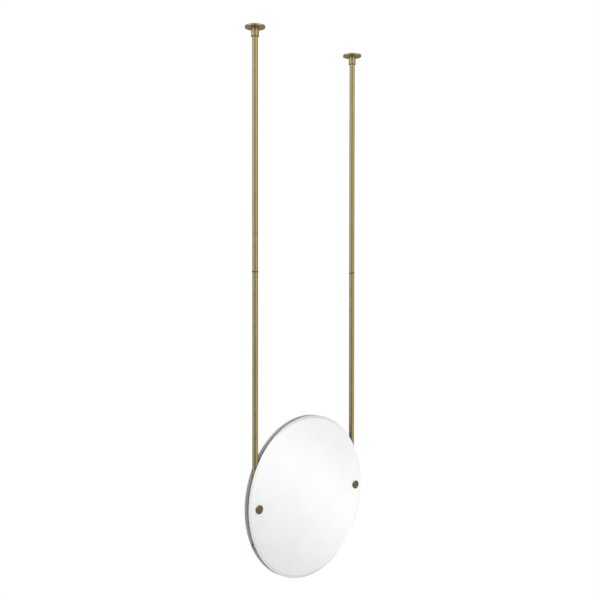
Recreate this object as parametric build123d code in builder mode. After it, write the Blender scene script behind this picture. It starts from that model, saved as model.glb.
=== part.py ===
"""Round frameless mirror hung from the ceiling on two brass rods.

Millimetres, +Z up. The origin is on the ceiling, midway between the two rods and on their
axes, and the mirror faces -Y. Each rod is two tubes joined by a ring, screwed to a steel
plate on the ceiling that a sliding brass cover hides. The glass and a painted rear panel
are clamped to the rods by one through bolt a side, closed in front by a turned knob.
"""

import math
import os

from build123d import *

# Overall sizes
MIRROR_DIAMETER = 558.8
MIRROR_DROP = 1572.0
ROD_SPACING = 480.0
ROD_JOINT_DROP = 795.6
ROD_END_BELOW_CENTRE = 132.0

# Rods and what joins them
ROD_DIAMETER = 19.05
ROD_WALL = 3.0
JOINT_RING_STEP = 1.1
JOINT_RING_HEIGHT = 5.0
JOINT_RING_CHAMFER = 0.9
SPIGOT_LENGTH = 20.0
INSERT_LENGTH = 18.0
INSERT_WALL = 1.6
END_CAP_HEIGHT = 13.0
END_CAP_FILLET = 3.0
END_CAP_NECK_HEIGHT = 1.6
END_CAP_NECK_DEPTH = 2.0
END_CAP_SPIGOT_LENGTH = 12.0

# Ceiling plate and cover
PLATE_STUD_LENGTH = 16.0
PLATE_STUD_CHAMFER = 1.0
SCREW_HOLE_DIAMETER = 5.2
SCREW_HEAD_DIAMETER = 9.6
SCREW_HOLE_SPACING = 40.0
COVER_DIAMETER = 66.7
COVER_HEIGHT = 6.0
COVER_WALL = 1.2
COVER_EDGE_FILLET = 1.0
COLLAR_WALL = 3.1
COLLAR_DROP = 34.5
COLLAR_CHAMFER = 1.0
SET_SCREW_DIAMETER = 4.0
SET_SCREW_DROP = 22.0
SET_SCREW_SOCKET = 2.0

# Discs, pads and the seats milled for them in the rods
GLASS_THICKNESS = 4.0
BEVEL_WIDTH = 10.0
BEVEL_DEPTH = 0.9
BACKING_THICKNESS = 0.4
BACKING_INSET = 1.5
PAD_THICKNESS = 0.5
PAD_HEIGHT = 60.0
PAD_MARGIN = 0.8
PAD_CORNER = 3.0
SEAT_DEPTH = 2.4
PANEL_THICKNESS = 1.5
PANEL_EDGE_FILLET = 0.5

# Through bolt and what it clamps
BOLT_DIAMETER = 6.0
BOLT_TIP_CHAMFER = 0.6
BOLT_HEAD_DIAMETER = 12.0
BOLT_HEAD_HEIGHT = 4.0
BOLT_HEAD_FILLET = 2.8
BOLT_SOCKET = 4.0
BOLT_SOCKET_DEPTH = 2.4
BUSH_WALL = 1.3
FRONT_WASHER_DIAMETER = 20.0
FRONT_WASHER_THICKNESS = 1.0
REAR_WASHER_DIAMETER = 24.0
REAR_WASHER_THICKNESS = 1.6
WASHER_CHAMFER = 0.3
KNOB_DIAMETER = 29.8
KNOB_HEAD_THICKNESS = 6.5
KNOB_NECK_DIAMETER = 15.0
KNOB_NECK_LENGTH = 3.9
KNOB_CHAMFER = 1.2
KNOB_DISH_DIAMETER = 20.0
KNOB_DISH_DEPTH = 0.8
KNOB_THREAD_ENGAGED = 8.0
KNOB_BORE_RUNOUT = 1.0

# Clearances, each on the radius or between two faces
FIT = 0.05
FACE_GAP = 0.05
SLIDE_FIT = 0.10
BOLT_CLEARANCE = 0.2
SCREW_RECESS = 0.3
PLATE_SIDE_CLEARANCE = 3.0
PLATE_FACE_CLEARANCE = 0.8
SEAT_CLEARANCE = 1.0

# Radii that follow from the sizes above
mirror_radius = MIRROR_DIAMETER / 2
rod_radius = ROD_DIAMETER / 2
tube_bore_radius = rod_radius - ROD_WALL
plug_radius = tube_bore_radius - FIT
stud_radius = plug_radius - INSERT_WALL - FIT
ring_radius = rod_radius + JOINT_RING_STEP
collar_bore_radius = rod_radius + SLIDE_FIT
collar_radius = collar_bore_radius + COLLAR_WALL
cover_bore_radius = COVER_DIAMETER / 2 - COVER_WALL
bolt_hole_radius = BOLT_DIAMETER / 2 + BOLT_CLEARANCE
bush_radius = bolt_hole_radius + BUSH_WALL
seat_to_axis = rod_radius - SEAT_DEPTH
seat_width = 2 * math.sqrt(rod_radius**2 - seat_to_axis**2)

# Heights that follow from the sizes above
plate_thickness = COVER_HEIGHT - COVER_WALL - PLATE_FACE_CLEARANCE
rod_top = -plate_thickness - FACE_GAP
joint_top = -ROD_JOINT_DROP + JOINT_RING_HEIGHT / 2
joint_bottom = -ROD_JOINT_DROP - JOINT_RING_HEIGHT / 2
mirror_z = -MIRROR_DROP
rod_bottom = mirror_z - ROD_END_BELOW_CENTRE
tube_bottom = rod_bottom + END_CAP_HEIGHT + END_CAP_NECK_HEIGHT

# Faces along Y, from the rods' axes forward to the knob and back to the bolt's head
pad_front = -seat_to_axis - PAD_THICKNESS
glass_back = pad_front - BACKING_THICKNESS
glass_front = glass_back - GLASS_THICKNESS
knob_back = glass_front - FRONT_WASHER_THICKNESS - FACE_GAP
knob_shoulder = knob_back - KNOB_NECK_LENGTH
knob_front = knob_shoulder - KNOB_HEAD_THICKNESS
bolt_tip = knob_back - KNOB_THREAD_ENGAGED
panel_front = seat_to_axis + PAD_THICKNESS
panel_back = panel_front + PANEL_THICKNESS
bolt_head_front = panel_back + REAR_WASHER_THICKNESS
bolt_head_back = bolt_head_front + BOLT_HEAD_HEIGHT

os.makedirs("parts", exist_ok=True)


def facing_room(x, y, z):
    """A plane whose normal points to -Y, towards whoever looks into the mirror."""
    return Plane(origin=(x, y, z), x_dir=(1, 0, 0), z_dir=(0, -1, 0))


def facing_back(x, y, z):
    """A plane whose normal points to +Y, away from the room."""
    return Plane(origin=(x, y, z), x_dir=(-1, 0, 0), z_dir=(0, 1, 0))


def widest_edges(builder, count):
    """The circular edges of largest radius."""
    return builder.edges().filter_by(GeomType.CIRCLE).sort_by(SortBy.RADIUS)[-count:]


def save(builder, name):
    builder.part.label = name
    export_step(builder.part, f"parts/{name}.step")


# Mirror glass, bevelled round its front edge, with a hole for each bolt's bush
with BuildPart() as mirror_glass:
    with BuildSketch(Plane(origin=(0, glass_back, mirror_z), x_dir=(1, 0, 0), z_dir=(0, 0, -1))):
        with BuildLine():
            Polyline(
                (0, 0),
                (mirror_radius, 0),
                (mirror_radius, GLASS_THICKNESS - BEVEL_DEPTH),
                (mirror_radius - BEVEL_WIDTH, GLASS_THICKNESS),
                (0, GLASS_THICKNESS),
                close=True,
            )
        make_face()
    revolve(axis=Axis((0, glass_back, mirror_z), (0, -1, 0)))
    with BuildSketch(facing_room(0, glass_back, mirror_z)):
        with GridLocations(ROD_SPACING, 1, 2, 1):
            Circle(bush_radius + FIT)
    extrude(amount=GLASS_THICKNESS, mode=Mode.SUBTRACT)
save(mirror_glass, "mirror_glass")

# Safety film bonded to the back of the glass, short of its edge
with BuildPart() as mirror_backing:
    with BuildSketch(facing_room(0, pad_front, mirror_z)):
        Circle(mirror_radius - BACKING_INSET)
        with GridLocations(ROD_SPACING, 1, 2, 1):
            Circle(bush_radius + FIT, mode=Mode.SUBTRACT)
    extrude(amount=BACKING_THICKNESS)
save(mirror_backing, "mirror_backing")

# Painted sheet panel that closes the back
with BuildPart() as rear_panel:
    with BuildSketch(facing_room(0, panel_back, mirror_z)):
        Circle(mirror_radius)
        with GridLocations(ROD_SPACING, 1, 2, 1):
            Circle(bolt_hole_radius, mode=Mode.SUBTRACT)
    extrude(amount=PANEL_THICKNESS)
    fillet(widest_edges(rear_panel, 2), PANEL_EDGE_FILLET)
save(rear_panel, "rear_panel")


def ceiling_plate(x):
    """Steel disc on the ceiling: two countersunk screw holes and the stud for the rod."""
    with BuildPart() as plate:
        with BuildSketch(Plane((x, 0, 0))):
            Circle(cover_bore_radius - PLATE_SIDE_CLEARANCE)
        extrude(amount=-plate_thickness)
        with BuildSketch(Plane((x, 0, -plate_thickness))):
            Circle(stud_radius)
        extrude(amount=-PLATE_STUD_LENGTH)
        chamfer(plate.edges().sort_by(Axis.Z)[0], PLATE_STUD_CHAMFER)
        with Locations(Plane(origin=(x, 0, -plate_thickness), z_dir=(0, 0, -1))):
            with GridLocations(1, SCREW_HOLE_SPACING, 1, 2):
                CounterSinkHole(SCREW_HOLE_DIAMETER / 2, SCREW_HEAD_DIAMETER / 2)
    return plate


def ceiling_cover(x):
    """Brass cover, hollow above, with a collar that slides on the rod."""
    with BuildPart() as cover:
        with BuildSketch(Plane((x, 0, 0))):
            Circle(COVER_DIAMETER / 2)
        extrude(amount=-COVER_HEIGHT)
        fillet(cover.edges().sort_by(Axis.Z)[0], COVER_EDGE_FILLET)
        with BuildSketch(Plane((x, 0, -COVER_HEIGHT))):
            Circle(collar_radius)
        extrude(amount=-(COLLAR_DROP - COVER_HEIGHT))
        chamfer(cover.edges().sort_by(Axis.Z)[0], COLLAR_CHAMFER)
        with BuildSketch(Plane((x, 0, 0))):
            Circle(cover_bore_radius)
        extrude(amount=-(COVER_HEIGHT - COVER_WALL), mode=Mode.SUBTRACT)
        with BuildSketch(Plane((x, 0, 0))):
            Circle(collar_bore_radius)
        extrude(amount=-COLLAR_DROP, mode=Mode.SUBTRACT)
        with BuildSketch(facing_back(x, 0, -SET_SCREW_DROP)):
            Circle(SET_SCREW_DIAMETER / 2 + FIT)
        extrude(amount=collar_radius, mode=Mode.SUBTRACT)
    return cover


def cover_screw(x):
    """Socket set screw in the rear of the collar, its tip at the collar's bore."""
    head = collar_radius - SCREW_RECESS
    with BuildPart() as screw:
        with BuildSketch(facing_back(x, collar_bore_radius, -SET_SCREW_DROP)):
            Circle(SET_SCREW_DIAMETER / 2)
        extrude(amount=head - collar_bore_radius)
        with BuildSketch(facing_back(x, head, -SET_SCREW_DROP)):
            RegularPolygon(SET_SCREW_SOCKET / 2, 6, major_radius=False)
        extrude(amount=-(head - collar_bore_radius) / 2, mode=Mode.SUBTRACT)
    return screw


def rod_top_insert(x):
    """Threaded plug in the top of the upper tube that screws on to the plate's stud."""
    with BuildPart() as insert:
        with BuildSketch(Plane((x, 0, rod_top))):
            Circle(plug_radius)
            Circle(stud_radius + FIT, mode=Mode.SUBTRACT)
        extrude(amount=-INSERT_LENGTH)
    return insert


def rod_tube(x, top, bottom):
    """Sketch of one tube, drawn out between two heights."""
    with BuildPart() as tube:
        with BuildSketch(Plane((x, 0, bottom))):
            Circle(rod_radius)
            Circle(tube_bore_radius, mode=Mode.SUBTRACT)
        extrude(amount=top - bottom)
    return tube


def upper_rod(x):
    """Brass tube from the ceiling plate down to the joint ring."""
    return rod_tube(x, rod_top, joint_top + FACE_GAP)


def rod_coupler(x):
    """Joint ring between the two tubes, with a threaded spigot up and one down."""
    with BuildPart() as coupler:
        with BuildSketch(Plane((x, 0, joint_bottom))):
            Circle(ring_radius)
        extrude(amount=JOINT_RING_HEIGHT)
        chamfer(widest_edges(coupler, 2), JOINT_RING_CHAMFER)
        with BuildSketch(Plane((x, 0, joint_bottom - SPIGOT_LENGTH))):
            Circle(plug_radius)
        extrude(amount=JOINT_RING_HEIGHT + 2 * SPIGOT_LENGTH)
    return coupler


def lower_rod(x):
    """Brass tube down past the mirror, with a seat milled front and back for the discs.

    The top of each seat follows the edge of its disc, and the seats run out at the foot.
    """
    tube = rod_tube(x, joint_bottom - FACE_GAP, tube_bottom)
    seat_foot = mirror_z - tube_bottom
    with BuildPart() as rod:
        add(tube.part)
        for seat in (facing_room(0, -seat_to_axis, mirror_z), facing_back(0, seat_to_axis, mirror_z)):
            with BuildSketch(seat):
                Circle(mirror_radius + SEAT_CLEARANCE)
                with Locations((0, -seat_foot / 2)):
                    Rectangle(ROD_SPACING + 2 * ROD_DIAMETER, seat_foot)
            extrude(amount=ROD_DIAMETER, mode=Mode.SUBTRACT)
        with BuildSketch(facing_room(x, 0, mirror_z)):
            Circle(bolt_hole_radius)
        extrude(amount=ROD_DIAMETER, both=True, mode=Mode.SUBTRACT)
    return rod


def end_cap(x):
    """Brass plug in the foot of the lower tube, cut as flat as the seats above it."""
    with BuildPart() as cap:
        with BuildSketch(Plane((x, 0, rod_bottom))):
            Circle(ring_radius)
        extrude(amount=END_CAP_HEIGHT)
        fillet(cap.edges().sort_by(Axis.Z)[0], END_CAP_FILLET)
        with BuildSketch(Plane((x, 0, rod_bottom + END_CAP_HEIGHT))):
            Circle(rod_radius - END_CAP_NECK_DEPTH)
        extrude(amount=END_CAP_NECK_HEIGHT - FACE_GAP)
        with BuildSketch(Plane((x, 0, tube_bottom - FACE_GAP))):
            Circle(plug_radius)
        extrude(amount=END_CAP_SPIGOT_LENGTH)
        with Locations((x, 0, tube_bottom)):
            Box(4 * rod_radius, 2 * seat_to_axis, 8 * rod_radius, mode=Mode.INTERSECT)
    return cap


def seat_pad(x, back):
    """Thin rubber pad on the milled seat, whose back face is at the Y given."""
    with BuildPart() as pad:
        with BuildSketch(facing_room(x, back, mirror_z)):
            RectangleRounded(seat_width - 2 * PAD_MARGIN, PAD_HEIGHT, PAD_CORNER)
            Circle(bolt_hole_radius, mode=Mode.SUBTRACT)
        extrude(amount=PAD_THICKNESS)
    return pad


def glass_bush(x):
    """Nylon sleeve that keeps the bolt off the glass and its backing."""
    with BuildPart() as bush:
        with BuildSketch(facing_room(x, pad_front, mirror_z)):
            Circle(bush_radius)
            Circle(bolt_hole_radius, mode=Mode.SUBTRACT)
        extrude(amount=BACKING_THICKNESS + GLASS_THICKNESS)
    return bush


def bolt_washer(x, back, diameter, thickness):
    """Flat washer round the bolt, whose back face is at the Y given."""
    with BuildPart() as washer:
        with BuildSketch(facing_room(x, back, mirror_z)):
            Circle(diameter / 2)
            Circle(bolt_hole_radius, mode=Mode.SUBTRACT)
        extrude(amount=thickness)
        chamfer(widest_edges(washer, 2), WASHER_CHAMFER)
    return washer


def through_bolt(x):
    """Button-head socket bolt put in from behind, its tip inside the front knob."""
    with BuildPart() as bolt:
        with BuildSketch(facing_room(x, bolt_head_back, mirror_z)):
            Circle(BOLT_HEAD_DIAMETER / 2)
        extrude(amount=BOLT_HEAD_HEIGHT)
        fillet(bolt.edges().sort_by(Axis.Y)[-1], BOLT_HEAD_FILLET)
        with BuildSketch(facing_room(x, bolt_head_front, mirror_z)):
            Circle(BOLT_DIAMETER / 2)
        extrude(amount=bolt_head_front - bolt_tip)
        chamfer(bolt.edges().sort_by(Axis.Y)[0], BOLT_TIP_CHAMFER)
        with BuildSketch(facing_room(x, bolt_head_back, mirror_z)):
            RegularPolygon(BOLT_SOCKET / 2, 6, major_radius=False)
        extrude(amount=BOLT_SOCKET_DEPTH, mode=Mode.SUBTRACT)
    return bolt


def front_knob(x):
    """Turned brass knob: neck, thick chamfered head, shallow dish and a blind bore."""
    with BuildPart() as knob:
        with BuildSketch(facing_room(x, knob_shoulder, mirror_z)):
            Circle(KNOB_DIAMETER / 2)
        extrude(amount=KNOB_HEAD_THICKNESS)
        chamfer(widest_edges(knob, 2), KNOB_CHAMFER)
        with BuildSketch(facing_room(x, knob_front, mirror_z)):
            Circle(KNOB_DISH_DIAMETER / 2)
        extrude(amount=-KNOB_DISH_DEPTH, taper=45, mode=Mode.SUBTRACT)
        with BuildSketch(facing_room(x, knob_back, mirror_z)):
            Circle(KNOB_NECK_DIAMETER / 2)
        extrude(amount=KNOB_NECK_LENGTH)
        with BuildSketch(facing_room(x, knob_back, mirror_z)):
            Circle(BOLT_DIAMETER / 2 + FIT)
        extrude(amount=KNOB_THREAD_ENGAGED + KNOB_BORE_RUNOUT, mode=Mode.SUBTRACT)
    return knob


# The same pieces hang from the ceiling on the left and on the right
for side, rod_x in (("left", -ROD_SPACING / 2), ("right", ROD_SPACING / 2)):
    save(ceiling_plate(rod_x), f"{side}_ceiling_plate")
    save(ceiling_cover(rod_x), f"{side}_ceiling_cover")
    save(cover_screw(rod_x), f"{side}_cover_screw")
    save(rod_top_insert(rod_x), f"{side}_rod_top_insert")
    save(upper_rod(rod_x), f"{side}_upper_rod")
    save(rod_coupler(rod_x), f"{side}_rod_coupler")
    save(lower_rod(rod_x), f"{side}_lower_rod")
    save(end_cap(rod_x), f"{side}_end_cap")
    save(seat_pad(rod_x, -seat_to_axis), f"{side}_glass_pad")
    save(seat_pad(rod_x, panel_front), f"{side}_panel_pad")
    save(glass_bush(rod_x), f"{side}_glass_bush")
    save(
        bolt_washer(rod_x, glass_front, FRONT_WASHER_DIAMETER, FRONT_WASHER_THICKNESS),
        f"{side}_front_washer",
    )
    save(
        bolt_washer(rod_x, bolt_head_front, REAR_WASHER_DIAMETER, REAR_WASHER_THICKNESS),
        f"{side}_rear_washer",
    )
    save(through_bolt(rod_x), f"{side}_through_bolt")
    save(front_knob(rod_x), f"{side}_front_knob")
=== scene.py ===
"""Round frameless mirror hung from the ceiling on two brass rods, dressed for its photograph."""

import math

import bmesh
import bpy
from mathutils import Euler, Matrix, Vector


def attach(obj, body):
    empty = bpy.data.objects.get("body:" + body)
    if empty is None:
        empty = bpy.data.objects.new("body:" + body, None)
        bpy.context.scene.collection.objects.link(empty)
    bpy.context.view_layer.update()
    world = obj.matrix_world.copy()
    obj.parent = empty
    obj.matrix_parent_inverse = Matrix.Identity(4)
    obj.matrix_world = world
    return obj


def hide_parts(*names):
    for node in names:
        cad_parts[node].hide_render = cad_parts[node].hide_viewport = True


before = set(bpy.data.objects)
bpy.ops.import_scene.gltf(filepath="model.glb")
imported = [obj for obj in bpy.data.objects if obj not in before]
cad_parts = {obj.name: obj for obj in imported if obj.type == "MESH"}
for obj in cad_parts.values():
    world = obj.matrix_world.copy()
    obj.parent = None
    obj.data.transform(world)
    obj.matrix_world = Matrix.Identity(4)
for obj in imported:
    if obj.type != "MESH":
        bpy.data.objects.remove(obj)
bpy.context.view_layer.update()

# Camera where the photographer stood, found from the mirror's outline and the rods: level
# with the middle of the rods, to the left of the mirror and turned 45.5 degrees to it.
PHOTO_LENS = 49.78
PHOTO_SPOT = (-2.06811, -2.00102, -0.83528)
PHOTO_TURN = 45.511
PHOTO_DIP = 1.118
PHOTO_ROLL = 0.033

camera_data = bpy.data.cameras.new("photo camera")
camera_data.lens = PHOTO_LENS
camera_data.sensor_width = 36.0
camera_data.clip_start = 0.02
camera = bpy.data.objects.new("photo camera", camera_data)
camera.location = PHOTO_SPOT
level = Euler((math.radians(90.0 - PHOTO_DIP), 0.0, math.radians(-PHOTO_TURN))).to_matrix()
camera.rotation_euler = (level @ Matrix.Rotation(math.radians(PHOTO_ROLL), 3, "Z")).to_euler()
bpy.context.scene.collection.objects.link(camera)
bpy.context.scene.camera = camera
bpy.context.scene.view_settings.view_transform = "Standard"


# Rods: two drawn brass tubes a side, 19 mm across with a 3 mm wall, brushed along their
# length, darkened to an antique finish and lacquered. The lower one has a flat seat milled
# front and back, whose top follows the edge of its disc, and a cross hole for the bolt.
MM = 0.001
ROD_SPACING = 480.0
ROD_RADIUS = 9.525
TUBE_BORE_RADIUS = 6.525
ROD_TOP = -4.05
JOINT_TOP = -793.1
JOINT_BOTTOM = -798.1
TUBE_BOTTOM = -1689.4
TUBE_EDGE = 0.25
FACE_GAP = 0.05
MIRROR_Z = -1572.0
MIRROR_RADIUS = 279.4
SEAT_CLEARANCE = 1.0
SEAT_TO_AXIS = 7.125
BOLT_HOLE_RADIUS = 3.2
SIDES = (("left", -ROD_SPACING / 2), ("right", ROD_SPACING / 2))
FINE = 0.03
EASE_STEP = 15.0
THREAD_ROWS = 14
CRISP_ANGLE = 32.0
SEAT_HALF_WIDTH = 13.0
SEAT_FOOT = -125.0
MILL_DEPTH = 8.0
METAL_RELIEF = 0.004
ANTIQUE_SHADE = (0.37, 0.30, 0.118)
ANTIQUE_LIGHT = (0.50, 0.42, 0.185)


def put(tree, kind, sockets=None, **settings):
    """Add a node whose sockets each take a value or the output that feeds them."""
    node = tree.nodes.new(kind)
    for key, value in settings.items():
        setattr(node, key, value)
    for key, value in (sockets or {}).items():
        if isinstance(value, bpy.types.NodeSocket):
            tree.links.new(value, node.inputs[key])
        else:
            node.inputs[key].default_value = value
    return node


def sums(tree, operation, *values):
    """The output of a Math node."""
    return put(tree, "ShaderNodeMath", dict(enumerate(values)), operation=operation).outputs[0]


def ramp(tree, value, stops):
    """The colour that a value reaches on a run of (position, grey or colour) stops."""
    node = put(tree, "ShaderNodeValToRGB", {0: value})
    points = node.color_ramp.elements
    for index, (position, colour) in enumerate(stops):
        if index >= len(points):
            points.new(position)
        points[index].position = position
        shade = colour if isinstance(colour, tuple) else (colour,) * 3
        points[index].color = (*shade, 1.0)
    return node.outputs[0]


def turning_tree():
    """Turns a profile round an axis, and cuts a helical thread where the profile asks."""
    tree = bpy.data.node_groups.new("Turned Piece", "GeometryNodeTree")
    sockets = tree.interface
    for label, kind in (
        ("Profile", "Geometry"),
        ("Segments", "Int"),
        ("Thread Pitch", "Float"),
        ("Thread Depth", "Float"),
        ("Axis Foot", "Vector"),
        ("Axis Turn", "Vector"),
        ("Finish", "Material"),
    ):
        sockets.new_socket(label, in_out="INPUT", socket_type=f"NodeSocket{kind}")
    sockets.new_socket("Mesh", in_out="OUTPUT", socket_type="NodeSocketGeometry")
    given = put(tree, "NodeGroupInput").outputs
    size = put(tree, "GeometryNodeAttributeDomainSize", {0: given["Profile"]})
    rows = size.outputs["Point Count"]
    columns = sums(tree, "ADD", given["Segments"], 1.0)
    grid = put(
        tree,
        "GeometryNodeMeshGrid",
        {"Size X": 1.0, "Size Y": 1.0, "Vertices X": columns, "Vertices Y": rows},
    )
    spread = put(tree, "ShaderNodeSeparateXYZ", {0: grid.outputs["UV Map"]})
    turn = sums(tree, "MULTIPLY", spread.outputs[0], math.tau)
    last_row = sums(tree, "SUBTRACT", rows, 1.0)
    row = sums(tree, "ROUND", sums(tree, "MULTIPLY", spread.outputs[1], last_row))
    position = put(tree, "GeometryNodeInputPosition").outputs[0]
    place = put(
        tree,
        "GeometryNodeSampleIndex",
        {0: given["Profile"], "Value": position, "Index": row},
        data_type="FLOAT_VECTOR",
    )
    marks = []
    for name in ("edge", "thread"):
        mark = put(tree, "GeometryNodeInputNamedAttribute", {"Name": name}, data_type="FLOAT")
        marks.append(
            put(
                tree,
                "GeometryNodeSampleIndex",
                {0: given["Profile"], "Value": mark.outputs[0], "Index": row},
                data_type="FLOAT",
            ).outputs[0]
        )
    spot = put(tree, "ShaderNodeSeparateXYZ", {0: place.outputs[0]})
    climb = sums(tree, "DIVIDE", spot.outputs[2], given["Thread Pitch"])
    phase = sums(tree, "MULTIPLY", sums(tree, "SUBTRACT", climb, spread.outputs[0]), math.tau)
    groove = sums(tree, "MULTIPLY_ADD", sums(tree, "COSINE", phase), 0.5, 0.5)
    cut = sums(tree, "MULTIPLY", groove, given["Thread Depth"])
    radius = sums(tree, "SUBTRACT", spot.outputs[0], sums(tree, "MULTIPLY", cut, marks[1]))
    moved = put(
        tree,
        "ShaderNodeCombineXYZ",
        {
            0: sums(tree, "MULTIPLY", radius, sums(tree, "COSINE", turn)),
            1: sums(tree, "MULTIPLY", radius, sums(tree, "SINE", turn)),
            2: spot.outputs[2],
        },
    )
    shaped = put(
        tree, "GeometryNodeSetPosition", {0: grid.outputs[0], "Position": moved.outputs[0]}
    )
    marked = put(
        tree,
        "GeometryNodeStoreNamedAttribute",
        {0: shaped.outputs[0], "Name": "edge", "Value": marks[0]},
        data_type="FLOAT",
        domain="POINT",
    )
    closed = put(tree, "GeometryNodeMergeByDistance", {0: marked.outputs[0], "Distance": 1e-6})
    smooth = put(tree, "GeometryNodeSetShadeSmooth", {0: closed.outputs[0], "Shade Smooth": True})
    placed = put(
        tree,
        "GeometryNodeTransform",
        {0: smooth.outputs[0], "Translation": given["Axis Foot"], "Rotation": given["Axis Turn"]},
    )
    real = put(tree, "GeometryNodeRealizeInstances", {0: placed.outputs[0]})
    coated = put(tree, "GeometryNodeSetMaterial", {0: real.outputs[0], "Material": given["Finish"]})
    put(tree, "NodeGroupOutput", {0: coated.outputs[0]})
    return tree


turned_piece = turning_tree()


def as_plain_mesh(piece):
    """Replace a piece's mesh by what its modifiers make of it, and take them off."""
    shaped = piece.evaluated_get(bpy.context.evaluated_depsgraph_get())
    mesh = bpy.data.meshes.new_from_object(shaped)
    piece.modifiers.clear()
    old = piece.data
    piece.data = mesh
    bpy.data.meshes.remove(old)


def eased(corners, ring):
    """Profile points with each corner of (radius, height, ease) rounded to its ease.

    Returns (radius, height, edge): edge is 1 on an outer corner and -1 in an inner one.
    """
    points = []
    count = len(corners)
    for index, (radius, height, ease) in enumerate(corners):
        here = Vector((radius, height))
        if not ring and index in (0, count - 1) or not ease:
            points.append((radius, height, 0.0))
            continue
        before = Vector(corners[index - 1][:2]) - here
        after = Vector(corners[(index + 1) % count][:2]) - here
        half = before.angle(after) / 2
        bend = before.x * after.y - before.y * after.x
        side = -1.0 if bend > 0 else 1.0
        run = ease / math.tan(half)
        start = here + before.normalized() * run
        inward = (before.normalized() + after.normalized()).normalized()
        middle = here + inward * ease / math.sin(half)
        sweep = math.pi - 2 * half
        steps = max(3, round(math.degrees(sweep) / EASE_STEP))
        room = min(before.length, after.length) - run
        lead = min(4 * FINE, room / 3)
        points.append((*(start + before.normalized() * lead), 0.0))
        for step in range(steps + 1):
            turn = Matrix.Rotation(side * sweep * step / steps, 2)
            spot = middle + turn @ (start - middle)
            points.append((*spot, side))
        end = here + after.normalized() * run
        points.append((*(end + after.normalized() * lead), 0.0))
    if ring:
        points.append(points[0])
    return points


def turned(name, corners, coat, foot, turn=(0.0, 0.0, 0.0), segments=96, ring=False, thread=None):
    """A turned piece: millimetre corners round an axis that stands at foot."""
    points = [(*point, 0.0) for point in eased(corners, ring)]
    pitch, depth = 1.0, 0.0
    if thread:
        pitch, depth, low, high = thread
        cut = []
        for (r0, z0, e0, _), (r1, z1, _, _) in zip(points, points[1:]):
            cut.append((r0, z0, e0, 0.0))
            if abs(r1 - r0) < 1e-6 and min(z0, z1) <= low and high <= max(z0, z1):
                rows = round((high - low) / pitch * THREAD_ROWS)
                heights = [low + (high - low) * row / rows for row in range(rows + 1)]
                fade = [min(1.0, (z - low) / pitch, (high - z) / pitch) for z in heights]
                spots = [(r0, z, 0.0, mark) for z, mark in zip(heights, fade)]
                cut += spots if z1 > z0 else spots[::-1]
        points = cut + [points[-1]]
    mesh = bpy.data.meshes.new(name)
    mesh.from_pydata([(r * MM, 0.0, z * MM) for r, z, _, _ in points], [], [])
    for label, column in (("edge", 2), ("thread", 3)):
        mesh.attributes.new(label, "FLOAT", "POINT").data.foreach_set(
            "value", [point[column] for point in points]
        )
    piece = bpy.data.objects.new(name, mesh)
    bpy.context.scene.collection.objects.link(piece)
    modifier = piece.modifiers.new("turning", "NODES")
    modifier.node_group = turned_piece
    values = {
        "Segments": segments,
        "Thread Pitch": pitch * MM,
        "Thread Depth": depth * MM,
        "Axis Foot": [value * MM for value in foot],
        "Axis Turn": turn,
        "Finish": coat,
    }
    for item in turned_piece.interface.items_tree:
        if item.in_out == "INPUT" and item.name in values:
            modifier[item.identifier] = values[item.name]
    as_plain_mesh(piece)
    piece.data.materials.clear()
    piece.data.materials.append(coat)
    piece.data.polygons.foreach_set("material_index", [0] * len(piece.data.polygons))
    return piece


def prism(name, outline, depth, lay):
    """A closed straight prism over an outline in millimetres, laid by a matrix."""
    mesh = bmesh.new()
    low = [mesh.verts.new((x * MM, y * MM, 0.0)) for x, y in outline]
    high = [mesh.verts.new((x * MM, y * MM, depth * MM)) for x, y in outline]
    mesh.faces.new(low[::-1])
    mesh.faces.new(high)
    for index in range(len(outline)):
        after = (index + 1) % len(outline)
        mesh.faces.new((low[index], low[after], high[after], high[index]))
    bmesh.ops.recalc_face_normals(mesh, faces=mesh.faces)
    data = bpy.data.meshes.new(name)
    mesh.to_mesh(data)
    mesh.free()
    data.transform(lay)
    cutter = bpy.data.objects.new(name, data)
    bpy.context.scene.collection.objects.link(cutter)
    return cutter


def disc_outline(radius, sides, x=0.0):
    """Points round a circle about x, or the corners of a regular polygon."""
    turns = [math.tau * side / sides for side in range(sides)]
    return [(x + radius * math.cos(turn), radius * math.sin(turn)) for turn in turns]


def cut_away(piece, *cutters, crisp=CRISP_ANGLE):
    """Cut each cutter out of a piece and keep edges over that many degrees crisp."""
    for cutter in cutters:
        modifier = piece.modifiers.new("cut", "BOOLEAN")
        modifier.operation = "DIFFERENCE"
        modifier.solver = "EXACT"
        modifier.object = cutter
    as_plain_mesh(piece)
    for cutter in cutters:
        bpy.data.objects.remove(cutter)
    piece.data.shade_smooth()
    piece.data.set_sharp_from_angle(angle=math.radians(crisp))


def towards_room(x, y, z=MIRROR_Z):
    """Lays an outline in X and Z about a point, with its depth running towards -Y."""
    place = Matrix.Translation((x * MM, y * MM, z * MM))
    return place @ Matrix.Rotation(math.pi / 2, 4, "X")


def fixed(piece, node, body):
    """Stand a piece in for its CAD node, which is hidden, on that node's body."""
    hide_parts(node)
    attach(piece, body)


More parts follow.
